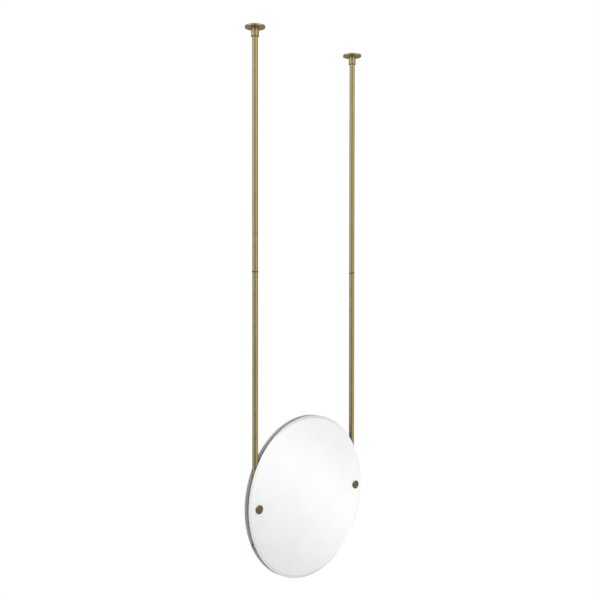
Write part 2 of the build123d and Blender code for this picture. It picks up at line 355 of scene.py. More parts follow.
def marks_group():
    """Fine lines left by the work, along a drawn tube or round a turned piece, and clouds."""
    tree = bpy.data.node_groups.new("Working Marks", "ShaderNodeTree")
    for label, kind in (("Vector", "Vector"), ("Turned", "Float"), ("Fineness", "Float")):
        tree.interface.new_socket(label, in_out="INPUT", socket_type=f"NodeSocket{kind}")
    for label in ("Lines", "Clouds"):
        tree.interface.new_socket(label, in_out="OUTPUT", socket_type="NodeSocketFloat")
    given = put(tree, "NodeGroupInput").outputs
    x, y, z = put(tree, "ShaderNodeSeparateXYZ", {0: given["Vector"]}).outputs
    across = sums(tree, "ADD", sums(tree, "MULTIPLY", x, x), sums(tree, "MULTIPLY", y, y))
    drawn = put(tree, "ShaderNodeCombineXYZ", {0: x, 1: y, 2: sums(tree, "MULTIPLY", z, 0.012)})
    rounds = put(tree, "ShaderNodeCombineXYZ", {0: sums(tree, "SQRT", across), 1: z, 2: 0.0})
    way = put(
        tree,
        "ShaderNodeMix",
        {0: given["Turned"], 4: drawn.outputs[0], 5: rounds.outputs[0]},
        data_type="VECTOR",
    )
    lines = put(
        tree,
        "ShaderNodeTexNoise",
        {"Vector": way.outputs[1], "Scale": given["Fineness"], "Detail": 3.0, "Roughness": 0.6},
    )
    clouds = put(
        tree,
        "ShaderNodeTexNoise",
        {"Vector": given["Vector"], "Scale": 42.0, "Detail": 4.0, "Roughness": 0.55},
    )
    put(tree, "NodeGroupOutput", {0: lines.outputs[0], 1: clouds.outputs[0]})
    return tree


working_marks = marks_group()


def finish(name):
    """A new material: its tree and its Principled shader."""
    material = bpy.data.materials.new(name)
    material.use_nodes = True
    tree = material.node_tree
    return material, tree, tree.nodes["Principled BSDF"]


def measured_from(tree, axis):
    """Object coordinates about the nearer rod's axis, or about the nearer bolt's axis."""
    place = put(tree, "ShaderNodeTexCoord").outputs["Object"]
    x, y, z = put(tree, "ShaderNodeSeparateXYZ", {0: place}).outputs
    side = sums(tree, "SUBTRACT", sums(tree, "ABSOLUTE", x), ROD_SPACING / 2 * MM)
    if axis == "rod":
        return put(tree, "ShaderNodeCombineXYZ", {0: side, 1: y, 2: z}).outputs[0]
    height = sums(tree, "SUBTRACT", z, MIRROR_Z * MM)
    return put(tree, "ShaderNodeCombineXYZ", {0: side, 1: height, 2: y}).outputs[0]


def blend(tree, factor, first, second):
    """A colour or value between two, each given or fed."""
    whole = [(*one, 1.0) if isinstance(one, tuple) else one for one in (first, second)]
    node = put(tree, "ShaderNodeMix", {0: factor, 6: whole[0], 7: whole[1]}, data_type="RGBA")
    return node.outputs[2]


def relief(tree, shader, height, depth):
    """Raise a shader's surface by a height of 0 to 1 times a depth in millimetres."""
    bump = put(
        tree, "ShaderNodeBump", {"Height": height, "Distance": depth * MM, "Strength": 1.0}
    )
    tree.links.new(bump.outputs[0], shader.inputs["Normal"])


def metal(name, axis, turned_work, shade, light, rough, lacquer=0.0, grain=2600.0):
    """Worked metal: marks of the work, a cloudy finish, bright arrises and dull hollows."""
    material, tree, shader = finish(name)
    marks = put(
        tree,
        "ShaderNodeGroup",
        {"Vector": measured_from(tree, axis), "Turned": turned_work, "Fineness": grain},
        node_tree=working_marks,
    )
    lines, clouds = marks.outputs
    edge_wear_and_highlight = put(tree, "ShaderNodeAttribute", attribute_name="edge").outputs["Fac"]
    tone = sums(tree, "MULTIPLY_ADD", lines, 0.5, sums(tree, "MULTIPLY", clouds, 0.5))
    spread = sums(tree, "MULTIPLY_ADD", sums(tree, "SUBTRACT", tone, 0.5), 2.2, 0.5)
    edged = put(tree, "ShaderNodeClamp", {0: sums(tree, "MULTIPLY_ADD", edge_wear_and_highlight, 0.35, spread)})
    tree.links.new(blend(tree, edged.outputs[0], shade, light), shader.inputs["Base Color"])
    rougher = sums(tree, "MULTIPLY_ADD", sums(tree, "SUBTRACT", clouds, 0.5), 0.16, rough)
    duller = sums(tree, "MULTIPLY_ADD", sums(tree, "SUBTRACT", lines, 0.5), 0.12, rougher)
    tree.links.new(duller, shader.inputs["Roughness"])
    shader.inputs["Metallic"].default_value = 1.0
    shader.inputs["Coat Weight"].default_value = lacquer
    shader.inputs["Coat Roughness"].default_value = 0.18
    relief(tree, shader, lines, METAL_RELIEF)
    return material


drawn_brass = metal(
    "antique brass tube",
    "rod",
    0.0,
    shade=ANTIQUE_SHADE,
    light=ANTIQUE_LIGHT,
    rough=0.26,
    lacquer=0.35,
)
turned_brass = metal(
    "antique brass, turned",
    "rod",
    1.0,
    shade=ANTIQUE_SHADE,
    light=ANTIQUE_LIGHT,
    rough=0.28,
    lacquer=0.35,
)

for side, x in SIDES:
    upper = turned(
        f"{side}_upper_tube",
        [
            (TUBE_BORE_RADIUS, JOINT_TOP + FACE_GAP, TUBE_EDGE),
            (ROD_RADIUS, JOINT_TOP + FACE_GAP, TUBE_EDGE),
            (ROD_RADIUS, ROD_TOP, TUBE_EDGE),
            (TUBE_BORE_RADIUS, ROD_TOP, TUBE_EDGE),
        ],
        drawn_brass,
        foot=(x, 0.0, 0.0),
        ring=True,
    )
    fixed(upper, f"{side}_upper_rod", "frame")

    lower = turned(
        f"{side}_lower_tube",
        [
            (TUBE_BORE_RADIUS, TUBE_BOTTOM, TUBE_EDGE),
            (ROD_RADIUS, TUBE_BOTTOM, TUBE_EDGE),
            (ROD_RADIUS, JOINT_BOTTOM - FACE_GAP, TUBE_EDGE),
            (TUBE_BORE_RADIUS, JOINT_BOTTOM - FACE_GAP, TUBE_EDGE),
        ],
        drawn_brass,
        foot=(x, 0.0, 0.0),
        ring=True,
    )
    reach = MIRROR_RADIUS + SEAT_CLEARANCE
    seat_xs = [x + SEAT_HALF_WIDTH * (step / 12 - 1) for step in range(25)]
    seat = [(seat_x, math.sqrt(reach**2 - seat_x**2)) for seat_x in seat_xs]
    seat += [(x + SEAT_HALF_WIDTH, SEAT_FOOT), (x - SEAT_HALF_WIDTH, SEAT_FOOT)]
    cut_away(
        lower,
        prism("front seat", seat, MILL_DEPTH, towards_room(0.0, -SEAT_TO_AXIS)),
        prism("rear seat", seat, MILL_DEPTH, towards_room(0.0, SEAT_TO_AXIS + MILL_DEPTH)),
        prism("bolt hole", disc_outline(BOLT_HOLE_RADIUS, 48, x), 24.0, towards_room(0.0, 12.0)),
    )
    fixed(lower, f"{side}_lower_rod", "frame")


# Joint ring: a short turned brass collar between the two tubes of a rod, left darker than
# they are, with a threaded spigot up into one and down into the other.
RING_RADIUS = 10.625
RING_CHAMFER = 0.9
PLUG_RADIUS = 6.475
SPIGOT_LENGTH = 20.0

dark_brass = metal(
    "dark brass, turned",
    "rod",
    1.0,
    shade=(0.115, 0.09, 0.037),
    light=(0.225, 0.182, 0.08),
    rough=0.34,
    lacquer=0.2,
)
for side, x in SIDES:
    ring = turned(
        f"{side}_joint_ring",
        [
            (0.0, JOINT_BOTTOM - SPIGOT_LENGTH, 0.0),
            (PLUG_RADIUS, JOINT_BOTTOM - SPIGOT_LENGTH, 0.6),
            (PLUG_RADIUS, JOINT_BOTTOM, 0.1),
            (RING_RADIUS - RING_CHAMFER, JOINT_BOTTOM, 0.15),
            (RING_RADIUS, JOINT_BOTTOM + RING_CHAMFER, 0.3),
            (RING_RADIUS, JOINT_TOP - RING_CHAMFER, 0.3),
            (RING_RADIUS - RING_CHAMFER, JOINT_TOP, 0.15),
            (PLUG_RADIUS, JOINT_TOP, 0.1),
            (PLUG_RADIUS, JOINT_TOP + SPIGOT_LENGTH, 0.6),
            (0.0, JOINT_TOP + SPIGOT_LENGTH, 0.0),
        ],
        dark_brass,
        foot=(x, 0.0, 0.0),
    )
    fixed(ring, f"{side}_rod_coupler", "frame")


# End cap: a turned brass plug pressed into the foot of the rod, with a short neck and a
# rounded foot, milled as flat front and back as the seats above it.
ROD_BOTTOM = -1704.0
CAP_TOP = -1691.0
CAP_NECK_RADIUS = 7.525
CAP_FILLET = 3.0
CAP_SPIGOT_TOP = -1677.45

for side, x in SIDES:
    cap = turned(
        f"{side}_foot_cap",
        [
            (0.0, ROD_BOTTOM, 0.0),
            (RING_RADIUS, ROD_BOTTOM, CAP_FILLET),
            (RING_RADIUS, CAP_TOP, 0.25),
            (CAP_NECK_RADIUS, CAP_TOP, 0.15),
            (CAP_NECK_RADIUS, TUBE_BOTTOM - FACE_GAP, 0.1),
            (PLUG_RADIUS, TUBE_BOTTOM - FACE_GAP, 0.1),
            (PLUG_RADIUS, CAP_SPIGOT_TOP, 0.5),
            (0.0, CAP_SPIGOT_TOP, 0.0),
        ],
        turned_brass,
        foot=(x, 0.0, 0.0),
    )
    low, high = ROD_BOTTOM - 1.0 - MIRROR_Z, CAP_SPIGOT_TOP + 1.0 - MIRROR_Z
    near, far = x - SEAT_HALF_WIDTH, x + SEAT_HALF_WIDTH
    flat = [(near, low), (far, low), (far, high), (near, high)]
    cut_away(
        cap,
        prism("front flat", flat, MILL_DEPTH, towards_room(0.0, -SEAT_TO_AXIS)),
        prism("rear flat", flat, MILL_DEPTH, towards_room(0.0, SEAT_TO_AXIS + MILL_DEPTH)),
    )
    fixed(cap, f"{side}_end_cap", "frame")


# Ceiling plate: a zinc-plated steel disc against the ceiling, with two countersunk holes for
# wood screws and a threaded stud for the rod. The cover hides it until it is slid down.
PLATE_RADIUS = 29.15
PLATE_THICKNESS = 4.0
STUD_RADIUS = 4.825
STUD_END = -20.0
STUD_PITCH = 1.25
STUD_THREAD_DEPTH = 0.6
SCREW_HOLE_RADIUS = 2.6
SCREW_HEAD_RADIUS = 4.8
SCREW_OFFSET = 20.0
COUNTERSINK_END = -1.469
COUNTERSINK_FLARE = 0.174
OVERCUT = 0.2

zinc_steel = metal(
    "zinc-plated steel",
    "rod",
    1.0,
    shade=(0.50, 0.51, 0.52),
    light=(0.68, 0.69, 0.70),
    rough=0.30,
    grain=2400.0,
)
for side, x in SIDES:
    plate = turned(
        f"{side}_steel_plate",
        [
            (0.0, STUD_END, 0.0),
            (STUD_RADIUS - 1.0, STUD_END, 0.15),
            (STUD_RADIUS, STUD_END + 1.0, 0.15),
            (STUD_RADIUS, -PLATE_THICKNESS, 0.4),
            (PLATE_RADIUS, -PLATE_THICKNESS, 0.4),
            (PLATE_RADIUS, 0.0, 0.3),
            (0.0, 0.0, 0.0),
        ],
        zinc_steel,
        foot=(x, 0.0, 0.0),
        thread=(STUD_PITCH, STUD_THREAD_DEPTH, STUD_END + 1.4, -PLATE_THICKNESS - 1.2),
    )
    holes = []
    for y in (-SCREW_OFFSET, SCREW_OFFSET):
        holes.append(
            turned(
                "screw hole",
                [
                    (0.0, -PLATE_THICKNESS - OVERCUT, 0.0),
                    (SCREW_HEAD_RADIUS + COUNTERSINK_FLARE, -PLATE_THICKNESS - OVERCUT, 0.0),
                    (SCREW_HOLE_RADIUS, COUNTERSINK_END, 0.0),
                    (SCREW_HOLE_RADIUS, OVERCUT, 0.0),
                    (0.0, OVERCUT, 0.0),
                ],
                zinc_steel,
                foot=(x, y, 0.0),
                segments=48,
            )
        )
    cut_away(plate, *holes)
    fixed(plate, f"{side}_ceiling_plate", "frame")


# Rod top insert: a plain machined brass plug in the top of the upper tube, tapped for the
# ceiling plate's stud.
INSERT_FOOT = -22.05
INSERT_BORE_RADIUS = 4.875

raw_brass = metal(
    "machined brass",
    "rod",
    1.0,
    shade=(0.62, 0.47, 0.21),
    light=(0.78, 0.62, 0.32),
    rough=0.24,
)
for side, x in SIDES:
    insert = turned(
        f"{side}_top_plug",
        [
            (INSERT_BORE_RADIUS, INSERT_FOOT, 0.2),
            (PLUG_RADIUS, INSERT_FOOT, 0.3),
            (PLUG_RADIUS, ROD_TOP, 0.2),
            (INSERT_BORE_RADIUS, ROD_TOP, 0.2),
        ],
        raw_brass,
        foot=(x, 0.0, 0.0),
        ring=True,
    )
    fixed(insert, f"{side}_rod_top_insert", "frame")


# Ceiling cover: a thin brass cup, turned in one piece with a collar that slides on the rod.
# A socket set screw in the back of the collar, where it doesn't show, holds it up.
COVER_RADIUS = 33.35
COVER_BORE_RADIUS = 32.15
COVER_HEIGHT = 6.0
COVER_WALL = 1.2
COLLAR_RADIUS = 12.725
COLLAR_BORE_RADIUS = 9.625
COLLAR_DROP = 34.5
COLLAR_CHAMFER = 1.0
SCREW_DROP = -22.0
SCREW_RADIUS = 2.0
SCREW_HEAD_Y = 12.425
SCREW_SOCKET_RADIUS = 2.0 / math.sqrt(3.0)
BLACKENED_SHADE = (0.060, 0.055, 0.050)
BLACKENED_LIGHT = (0.17, 0.155, 0.14)
# Painted shade for the shadow line at the collar's foot.
COLLAR_FOOT_PAINTED_SHADE = (0.045, 0.036, 0.018)

black_steel = metal(
    "blackened steel, rod axis",
    "rod",
    1.0,
    shade=BLACKENED_SHADE,
    light=BLACKENED_LIGHT,
    rough=0.36,
)
cover_brass = metal(
    "antique brass, cover",
    "rod",
    1.0,
    shade=(0.36, 0.295, 0.122),
    light=(0.49, 0.415, 0.19),
    rough=0.30,
    lacquer=0.3,
)

# Painted shade: the cover's colour is darkened towards the foot of the collar, darkest through its
# lower chamfer, for the shadow line there.
tree = cover_brass.node_tree
shader = tree.nodes["Principled BSDF"]
place = put(tree, "ShaderNodeTexCoord").outputs["Object"]
foot = put(
    tree,
    "ShaderNodeMapRange",
    {
        0: put(tree, "ShaderNodeSeparateXYZ", {0: place}).outputs[2],
        1: (0.3 + COLLAR_CHAMFER - COLLAR_DROP) * MM,
        2: (0.5 * COLLAR_CHAMFER - COLLAR_DROP) * MM,
    },
)
clean = shader.inputs["Base Color"].links[0].from_socket
foot_painted_shade = blend(tree, foot.outputs[0], clean, COLLAR_FOOT_PAINTED_SHADE)
tree.links.new(foot_painted_shade, shader.inputs["Base Color"])
for side, x in SIDES:
    cover = turned(
        f"{side}_brass_cover",
        [
            (COLLAR_BORE_RADIUS, -COLLAR_DROP, 0.15),
            (COLLAR_RADIUS - COLLAR_CHAMFER, -COLLAR_DROP, 0.2),
            (COLLAR_RADIUS, COLLAR_CHAMFER - COLLAR_DROP, 0.35),
            (COLLAR_RADIUS, -COVER_HEIGHT, 0.35),
            (COVER_RADIUS, -COVER_HEIGHT, 1.0),
            (COVER_RADIUS, 0.0, 0.25),
            (COVER_BORE_RADIUS, 0.0, 0.2),
            (COVER_BORE_RADIUS, COVER_WALL - COVER_HEIGHT, 0.3),
            (COLLAR_BORE_RADIUS, COVER_WALL - COVER_HEIGHT, 0.2),
        ],
        cover_brass,
        foot=(x, 0.0, 0.0),
        segments=144,
        ring=True,
    )
    rear = towards_room(x, 14.0, SCREW_DROP)
    cut_away(cover, prism("screw hole", disc_outline(SCREW_RADIUS + 0.05, 48), 6.5, rear))
    fixed(cover, f"{side}_ceiling_cover", f"{side}_cover")

    screw = turned(
        f"{side}_set_screw",
        [
            (0.0, 0.0, 0.0),
            (SCREW_RADIUS, 0.0, 0.5),
            (SCREW_RADIUS, SCREW_HEAD_Y - COLLAR_BORE_RADIUS, 0.15),
            (0.0, SCREW_HEAD_Y - COLLAR_BORE_RADIUS, 0.0),
        ],
        black_steel,
        foot=(x, COLLAR_BORE_RADIUS, SCREW_DROP),
        turn=(-math.pi / 2, 0.0, 0.0),
        segments=48,
    )
    mouth = towards_room(x, SCREW_HEAD_Y + 0.2, SCREW_DROP)
    cut_away(screw, prism("socket", disc_outline(SCREW_SOCKET_RADIUS, 6), 1.6, mouth))
    fixed(screw, f"{side}_cover_screw", f"{side}_cover")


# Mirror: 4 mm silvered float glass, 559 mm across, with a 10 mm polished bevel, a ground
# rim and a drilled hole each side for its bolt. Heights run from the back towards the room.
FACE_TO_ROOM = (math.pi / 2, 0.0, 0.0)
GLASS_BACK = 8.025
GLASS_THICKNESS = 4.0
BEVEL_WIDTH = 10.0
BEVEL_DEPTH = 0.9
BUSH_RADIUS = 4.5
GLASS_HOLE_RADIUS = 4.55
SILVER_METALLIC = 0.86
SILVER_ROUGHNESS = 0.11


def flat_faces_joined(piece):
    """Make one face of each fan that fills a flat side, so that holes cut it cleanly."""
    mesh = bmesh.new()
    mesh.from_mesh(piece.data)
    flats = [face for face in mesh.faces if abs(face.normal.y) > 0.9999]
    bmesh.ops.dissolve_faces(mesh, faces=flats, use_verts=True)
    mesh.to_mesh(piece.data)
    mesh.free()


def drilled(disc, radius, sides, depth, front, crisp=CRISP_ANGLE):
    """Drill a disc for both bolts, each hole running towards the room from front."""
    flat_faces_joined(disc)
    holes = []
    for _, x in SIDES:
        holes.append(prism("hole", disc_outline(radius, sides, x), depth, towards_room(0.0, front)))
    cut_away(disc, *holes, crisp=crisp)


def mottle(tree, scale, detail):
    """Noise over a piece's own coordinates."""
    place = put(tree, "ShaderNodeTexCoord").outputs["Object"]
    sockets = {"Vector": place, "Scale": scale, "Detail": detail}
    return put(tree, "ShaderNodeTexNoise", sockets).outputs[0]


silver, tree, shader = finish("silvered glass")
film = mottle(tree, 9.0, 3.0)
tint = ramp(tree, film, [(0.35, (0.915, 0.925, 0.925)), (0.65, (0.935, 0.94, 0.94))])
tree.links.new(tint, shader.inputs["Base Color"])
haze = sums(
    tree, "MULTIPLY_ADD", sums(tree, "SUBTRACT", film, 0.5), 0.03, SILVER_ROUGHNESS
)
tree.links.new(haze, shader.inputs["Roughness"])
shader.inputs["Metallic"].default_value = SILVER_METALLIC

glass_rim, tree, shader = finish("ground glass rim")
frost = mottle(tree, 2600.0, 2.0)
tint = ramp(tree, frost, [(0.3, (0.022, 0.028, 0.026)), (0.7, (0.048, 0.060, 0.056))])
tree.links.new(tint, shader.inputs["Base Color"])
shader.inputs["Roughness"].default_value = 0.42
shader.inputs["Coat Weight"].default_value = 0.15
relief(tree, shader, frost, 0.008)

mirror = turned(
    "mirror_disc",
    [
        (0.0, 0.0, 0.0),
        (MIRROR_RADIUS, 0.0, 0.12),
        (MIRROR_RADIUS, GLASS_THICKNESS - BEVEL_DEPTH, 0.12),
        (MIRROR_RADIUS - BEVEL_WIDTH, GLASS_THICKNESS, 0.0),
        (0.0, GLASS_THICKNESS, 0.0),
    ],
    silver,
    foot=(0.0, -GLASS_BACK, MIRROR_Z),
    turn=FACE_TO_ROOM,
    segments=360,
)
drilled(mirror, GLASS_HOLE_RADIUS, 64, 6.0, 1.0 - GLASS_BACK, crisp=3.0)
mirror.data.materials.append(glass_rim)
for face in mirror.data.polygons:
    face.material_index = 0 if face.normal.y < -0.9 else 1
fixed(mirror, "mirror_glass", "frame")


# Backing film: grey safety film stuck to the back of the glass, just short of its edge,
# that keeps the pieces together if the glass breaks.
PAD_FRONT = 7.625
FILM_THICKNESS = 0.4
FILM_INSET = 1.5

grey_film, tree, shader = finish("grey safety film")
weave = mottle(tree, 900.0, 3.0)
broad = mottle(tree, 14.0, 3.0)
shade = sums(tree, "MULTIPLY_ADD", weave, 0.4, sums(tree, "MULTIPLY", broad, 0.6))
tree.links.new(
    ramp(tree, shade, [(0.35, (0.30, 0.305, 0.31)), (0.65, (0.38, 0.385, 0.39))]),
    shader.inputs["Base Color"],
)
shader.inputs["Roughness"].default_value = 0.62
relief(tree, shader, weave, 0.02)

backing = turned(
    "backing_disc",
    [
        (0.0, 0.0, 0.0),
        (MIRROR_RADIUS - FILM_INSET, 0.0, 0.05),
        (MIRROR_RADIUS - FILM_INSET, FILM_THICKNESS, 0.05),
        (0.0, FILM_THICKNESS, 0.0),
    ],
    grey_film,
    foot=(0.0, -PAD_FRONT, MIRROR_Z),
    turn=FACE_TO_ROOM,
    segments=240,
)
drilled(backing, GLASS_HOLE_RADIUS, 48, 2.0, 0.8 - PAD_FRONT)
fixed(backing, "mirror_backing", "frame")


# Rear panel: a round sheet of 1.5 mm steel behind the rods, powder-coated grey, that closes
# the back and shows as a grey band beside the glass.
PANEL_BACK = 9.125
PANEL_THICKNESS = 1.5

grey_paint, tree, shader = finish("grey powder coat")
peel = mottle(tree, 950.0, 2.0)
broad = mottle(tree, 11.0, 4.0)
shade = sums(tree, "MULTIPLY_ADD", peel, 0.3, sums(tree, "MULTIPLY", broad, 0.7))
# Painted highlight: the panel's colour is made lighter on its rounded outer edges, as if they
# caught the light.
edge_wear_and_highlight = put(tree, "ShaderNodeAttribute", attribute_name="edge").outputs["Fac"]
lit = sums(tree, "MULTIPLY_ADD", edge_wear_and_highlight, 0.12, shade)
tree.links.new(
    ramp(tree, lit, [(0.3, (0.51, 0.515, 0.52)), (0.7, (0.55, 0.555, 0.56))]),
    shader.inputs["Base Color"],
)
shader.inputs["Roughness"].default_value = 0.42
relief(tree, shader, peel, 0.03)

panel = turned(
    "panel_disc",
    [
        (0.0, 0.0, 0.0),
        (MIRROR_RADIUS, 0.0, 0.5),
        (MIRROR_RADIUS, PANEL_THICKNESS, 0.5),
        (0.0, PANEL_THICKNESS, 0.0),
    ],
    grey_paint,
    foot=(0.0, PANEL_BACK, MIRROR_Z),
    turn=FACE_TO_ROOM,
    segments=360,
)
drilled(panel, BOLT_HOLE_RADIUS, 48, 4.0, PANEL_BACK + 1.0)
fixed(panel, "rear_panel", "frame")


# Seat pads: thin black rubber between each milled seat and its disc, pierced for the bolt.
PAD_THICKNESS = 0.5
PAD_WIDTH = 2 * math.sqrt(ROD_RADIUS**2 - SEAT_TO_AXIS**2) - 1.6
PAD_HEIGHT = 60.0
PAD_CORNER = 3.0

rubber, tree, shader = finish("black rubber")
grain = mottle(tree, 1500.0, 3.0)
tree.links.new(
    ramp(tree, grain, [(0.3, (0.018, 0.018, 0.018)), (0.75, (0.045, 0.045, 0.044))]),
    shader.inputs["Base Color"],
)
shader.inputs["Roughness"].default_value = 0.74
relief(tree, shader, grain, 0.02)

pad_outline = []
for corner, (sign_x, sign_y) in enumerate(((1, 1), (-1, 1), (-1, -1), (1, -1))):
    for step in range(9):
        angle = math.radians(90.0 * corner + 90.0 * step / 8)
        pad_outline.append(
            (
                sign_x * (PAD_WIDTH / 2 - PAD_CORNER) + PAD_CORNER * math.cos(angle),
                sign_y * (PAD_HEIGHT / 2 - PAD_CORNER) + PAD_CORNER * math.sin(angle),
            )
        )
for side, x in SIDES:
    for disc, back in (("glass", -SEAT_TO_AXIS), ("panel", SEAT_TO_AXIS + PAD_THICKNESS)):
        pad = prism(f"{side}_{disc}_rubber", pad_outline, PAD_THICKNESS, towards_room(x, back))
        pad.data.materials.append(rubber)
        hole = disc_outline(BOLT_HOLE_RADIUS, 48)
        cut_away(pad, prism("hole", hole, 2.0, towards_room(x, back + 0.8)))
        fixed(pad, f"{side}_{disc}_pad", "frame")


# Glass bush and front washer: moulded nylon. The bush keeps the bolt off the glass, and the
# washer lies under the knob and comes away with it.
GLASS_FRONT = 12.025
WASHER_RADIUS = 10.0
WASHER_THICKNESS = 1.0
WASHER_CHAMFER = 0.3

nylon, tree, shader = finish("natural nylon")
milk = mottle(tree, 420.0, 3.0)
tree.links.new(
    ramp(tree, milk, [(0.3, (0.70, 0.69, 0.655)), (0.7, (0.80, 0.79, 0.76))]),
    shader.inputs["Base Color"],
)
shader.inputs["Roughness"].default_value = 0.38
shader.inputs["Subsurface Weight"].default_value = 0.25
shader.inputs["Subsurface Scale"].default_value = 0.001
relief(tree, shader, milk, 0.01)


def washer_corners(outer, low, thickness):
    """Corners of a flat washer round the bolt."""
    return [
        (BOLT_HOLE_RADIUS, low, 0.1),
        (outer - WASHER_CHAMFER, low, 0.1),
        (outer, low + WASHER_CHAMFER, 0.1),
        (outer, low + thickness - WASHER_CHAMFER, 0.1),
        (outer - WASHER_CHAMFER, low + thickness, 0.1),
        (BOLT_HOLE_RADIUS, low + thickness, 0.1),
    ]


for side, x in SIDES:
    bush = turned(
        f"{side}_nylon_bush",
        [
            (BOLT_HOLE_RADIUS, PAD_FRONT, 0.1),
            (BUSH_RADIUS, PAD_FRONT, 0.2),
            (BUSH_RADIUS, GLASS_FRONT, 0.2),
            (BOLT_HOLE_RADIUS, GLASS_FRONT, 0.1),
        ],
        nylon,
        foot=(x, 0.0, MIRROR_Z),
        turn=FACE_TO_ROOM,
        segments=64,
        ring=True,
    )
    fixed(bush, f"{side}_glass_bush", "frame")

    washer = turned(
        f"{side}_nylon_washer",
        washer_corners(WASHER_RADIUS, GLASS_FRONT, WASHER_THICKNESS),
        nylon,
        foot=(x, 0.0, MIRROR_Z),
        turn=FACE_TO_ROOM,
        ring=True,
    )
    fixed(washer, f"{side}_front_washer", f"{side}_knob_washer")


# Through bolt and rear washer: a black button-head socket bolt, M6, put in from behind on a
# brass washer, whose thread runs out inside the front knob. It is kept out of reflections.
BOLT_RADIUS = 3.0
BOLT_PITCH = 1.0
BOLT_THREAD_DEPTH = 0.5
BOLT_TIP = 21.075
BOLT_TIP_CHAMFER = 0.6
HEAD_FRONT = -10.725
HEAD_BACK = -14.725
HEAD_RADIUS = 6.0
HEAD_FILLET = 2.8
SOCKET_RADIUS = 4.0 / math.sqrt(3.0)
SOCKET_DEPTH = 2.4
REAR_WASHER_RADIUS = 12.0
REAR_WASHER_THICKNESS = 1.6

knob_brass = metal(
    "antique brass, bolt axis",
    "bolt",
    1.0,
    shade=(0.125, 0.103, 0.044),
    light=(0.215, 0.18, 0.082),
    rough=0.42,
    lacquer=0.2,
)
bolt_steel = metal(
    "blackened steel, bolt axis",
    "bolt",
    1.0,
    shade=BLACKENED_SHADE,
    light=BLACKENED_LIGHT,
    rough=0.36,
)
for side, x in SIDES:
    washer = turned(
        f"{side}_brass_washer",
        washer_corners(REAR_WASHER_RADIUS, HEAD_FRONT, REAR_WASHER_THICKNESS),
        knob_brass,
        foot=(x, 0.0, MIRROR_Z),
        turn=FACE_TO_ROOM,
        ring=True,
    )
    fixed(washer, f"{side}_rear_washer", "frame")

    bolt = turned(
        f"{side}_socket_bolt",
        [
            (0.0, HEAD_BACK, 0.0),
            (HEAD_RADIUS, HEAD_BACK, HEAD_FILLET),
            (HEAD_RADIUS, HEAD_FRONT, 0.15),
            (BOLT_RADIUS, HEAD_FRONT, 0.2),
            (BOLT_RADIUS, BOLT_TIP - BOLT_TIP_CHAMFER, 0.1),
            (BOLT_RADIUS - BOLT_TIP_CHAMFER, BOLT_TIP, 0.1),
            (0.0, BOLT_TIP, 0.0),
        ],
        bolt_steel,
        foot=(x, 0.0, MIRROR_Z),
        turn=FACE_TO_ROOM,
        segments=64,
        thread=(BOLT_PITCH, BOLT_THREAD_DEPTH, -2.0, BOLT_TIP - BOLT_TIP_CHAMFER - 0.3),
    )
    socket = disc_outline(SOCKET_RADIUS, 6)
    cut_away(bolt, prism("socket", socket, SOCKET_DEPTH + 0.2, towards_room(x, 0.2 - HEAD_BACK)))
    bolt.visible_glossy = False
    fixed(bolt, f"{side}_through_bolt", "frame")


# Front knob: turned from solid brass, with a neck, a thick head and a shallow dish in its
# face, and a blind thread for the bolt. It screws up against the glass by hand, and is kept
# out of reflections, so that the mirror stays plain round it.
KNOB_BACK = 13.075
KNOB_SHOULDER = 16.975
KNOB_FRONT = 23.475
KNOB_RADIUS = 14.9
KNOB_NECK_RADIUS = 7.5
KNOB_CHAMFER = 1.2
DISH_RADIUS = 10.0
DISH_DEPTH = 0.8
BORE_RADIUS = 3.05
BORE_END = 22.075

for side, x in SIDES:
    knob = turned(
        f"{side}_hand_knob",
        [
            (0.0, BORE_END, 0.0),
            (BORE_RADIUS, BORE_END, 0.1),
            (BORE_RADIUS, KNOB_BACK, 0.2),
            (KNOB_NECK_RADIUS, KNOB_BACK, 0.3),
            (KNOB_NECK_RADIUS, KNOB_SHOULDER, 0.4),
            (KNOB_RADIUS - KNOB_CHAMFER, KNOB_SHOULDER, 0.2),
            (KNOB_RADIUS, KNOB_SHOULDER + KNOB_CHAMFER, 0.3),
            (KNOB_RADIUS, KNOB_FRONT - KNOB_CHAMFER, 0.3),
            (KNOB_RADIUS - KNOB_CHAMFER, KNOB_FRONT, 0.25),
            (DISH_RADIUS, KNOB_FRONT, 0.2),
            (DISH_RADIUS - DISH_DEPTH, KNOB_FRONT - DISH_DEPTH, 0.2),
            (0.0, KNOB_FRONT - DISH_DEPTH, 0.0),
        ],
        knob_brass,
        foot=(x, 0.0, MIRROR_Z),
        turn=FACE_TO_ROOM,
        segments=128,
    )
    knob.visible_glossy = False
    fixed(knob, f"{side}_front_knob", f"{side}_knob")


# Studio: a pale floor 2.6 m below the ceiling. The camera sees floor and background as plain
# white. The light itself is shaped: bright to both sides for the brass, from overhead, and
# with a broad panel that has a slanting ridge where the mirror looks.
FLOOR_DROP = 2.6
FLOOR_REACH = 30.0
PANEL_LEFT_END = (43.8, 11.4)
PANEL_RIGHT_END = (49.2, 15.3)
PANEL_PEAK = 1.045
PANEL_FALL = 3.0
PANEL_LOWER = 0.65
PANEL_UPPER = 0.87
RIDGE_HALF_WIDTH = 0.03
SIDE_LIGHT = 0.92
RIGHT_DIMMED = -0.34
BASE_LIGHT = 0.49
OVERHEAD_LIGHT = 1.3
REAR_LIGHT = 0.16

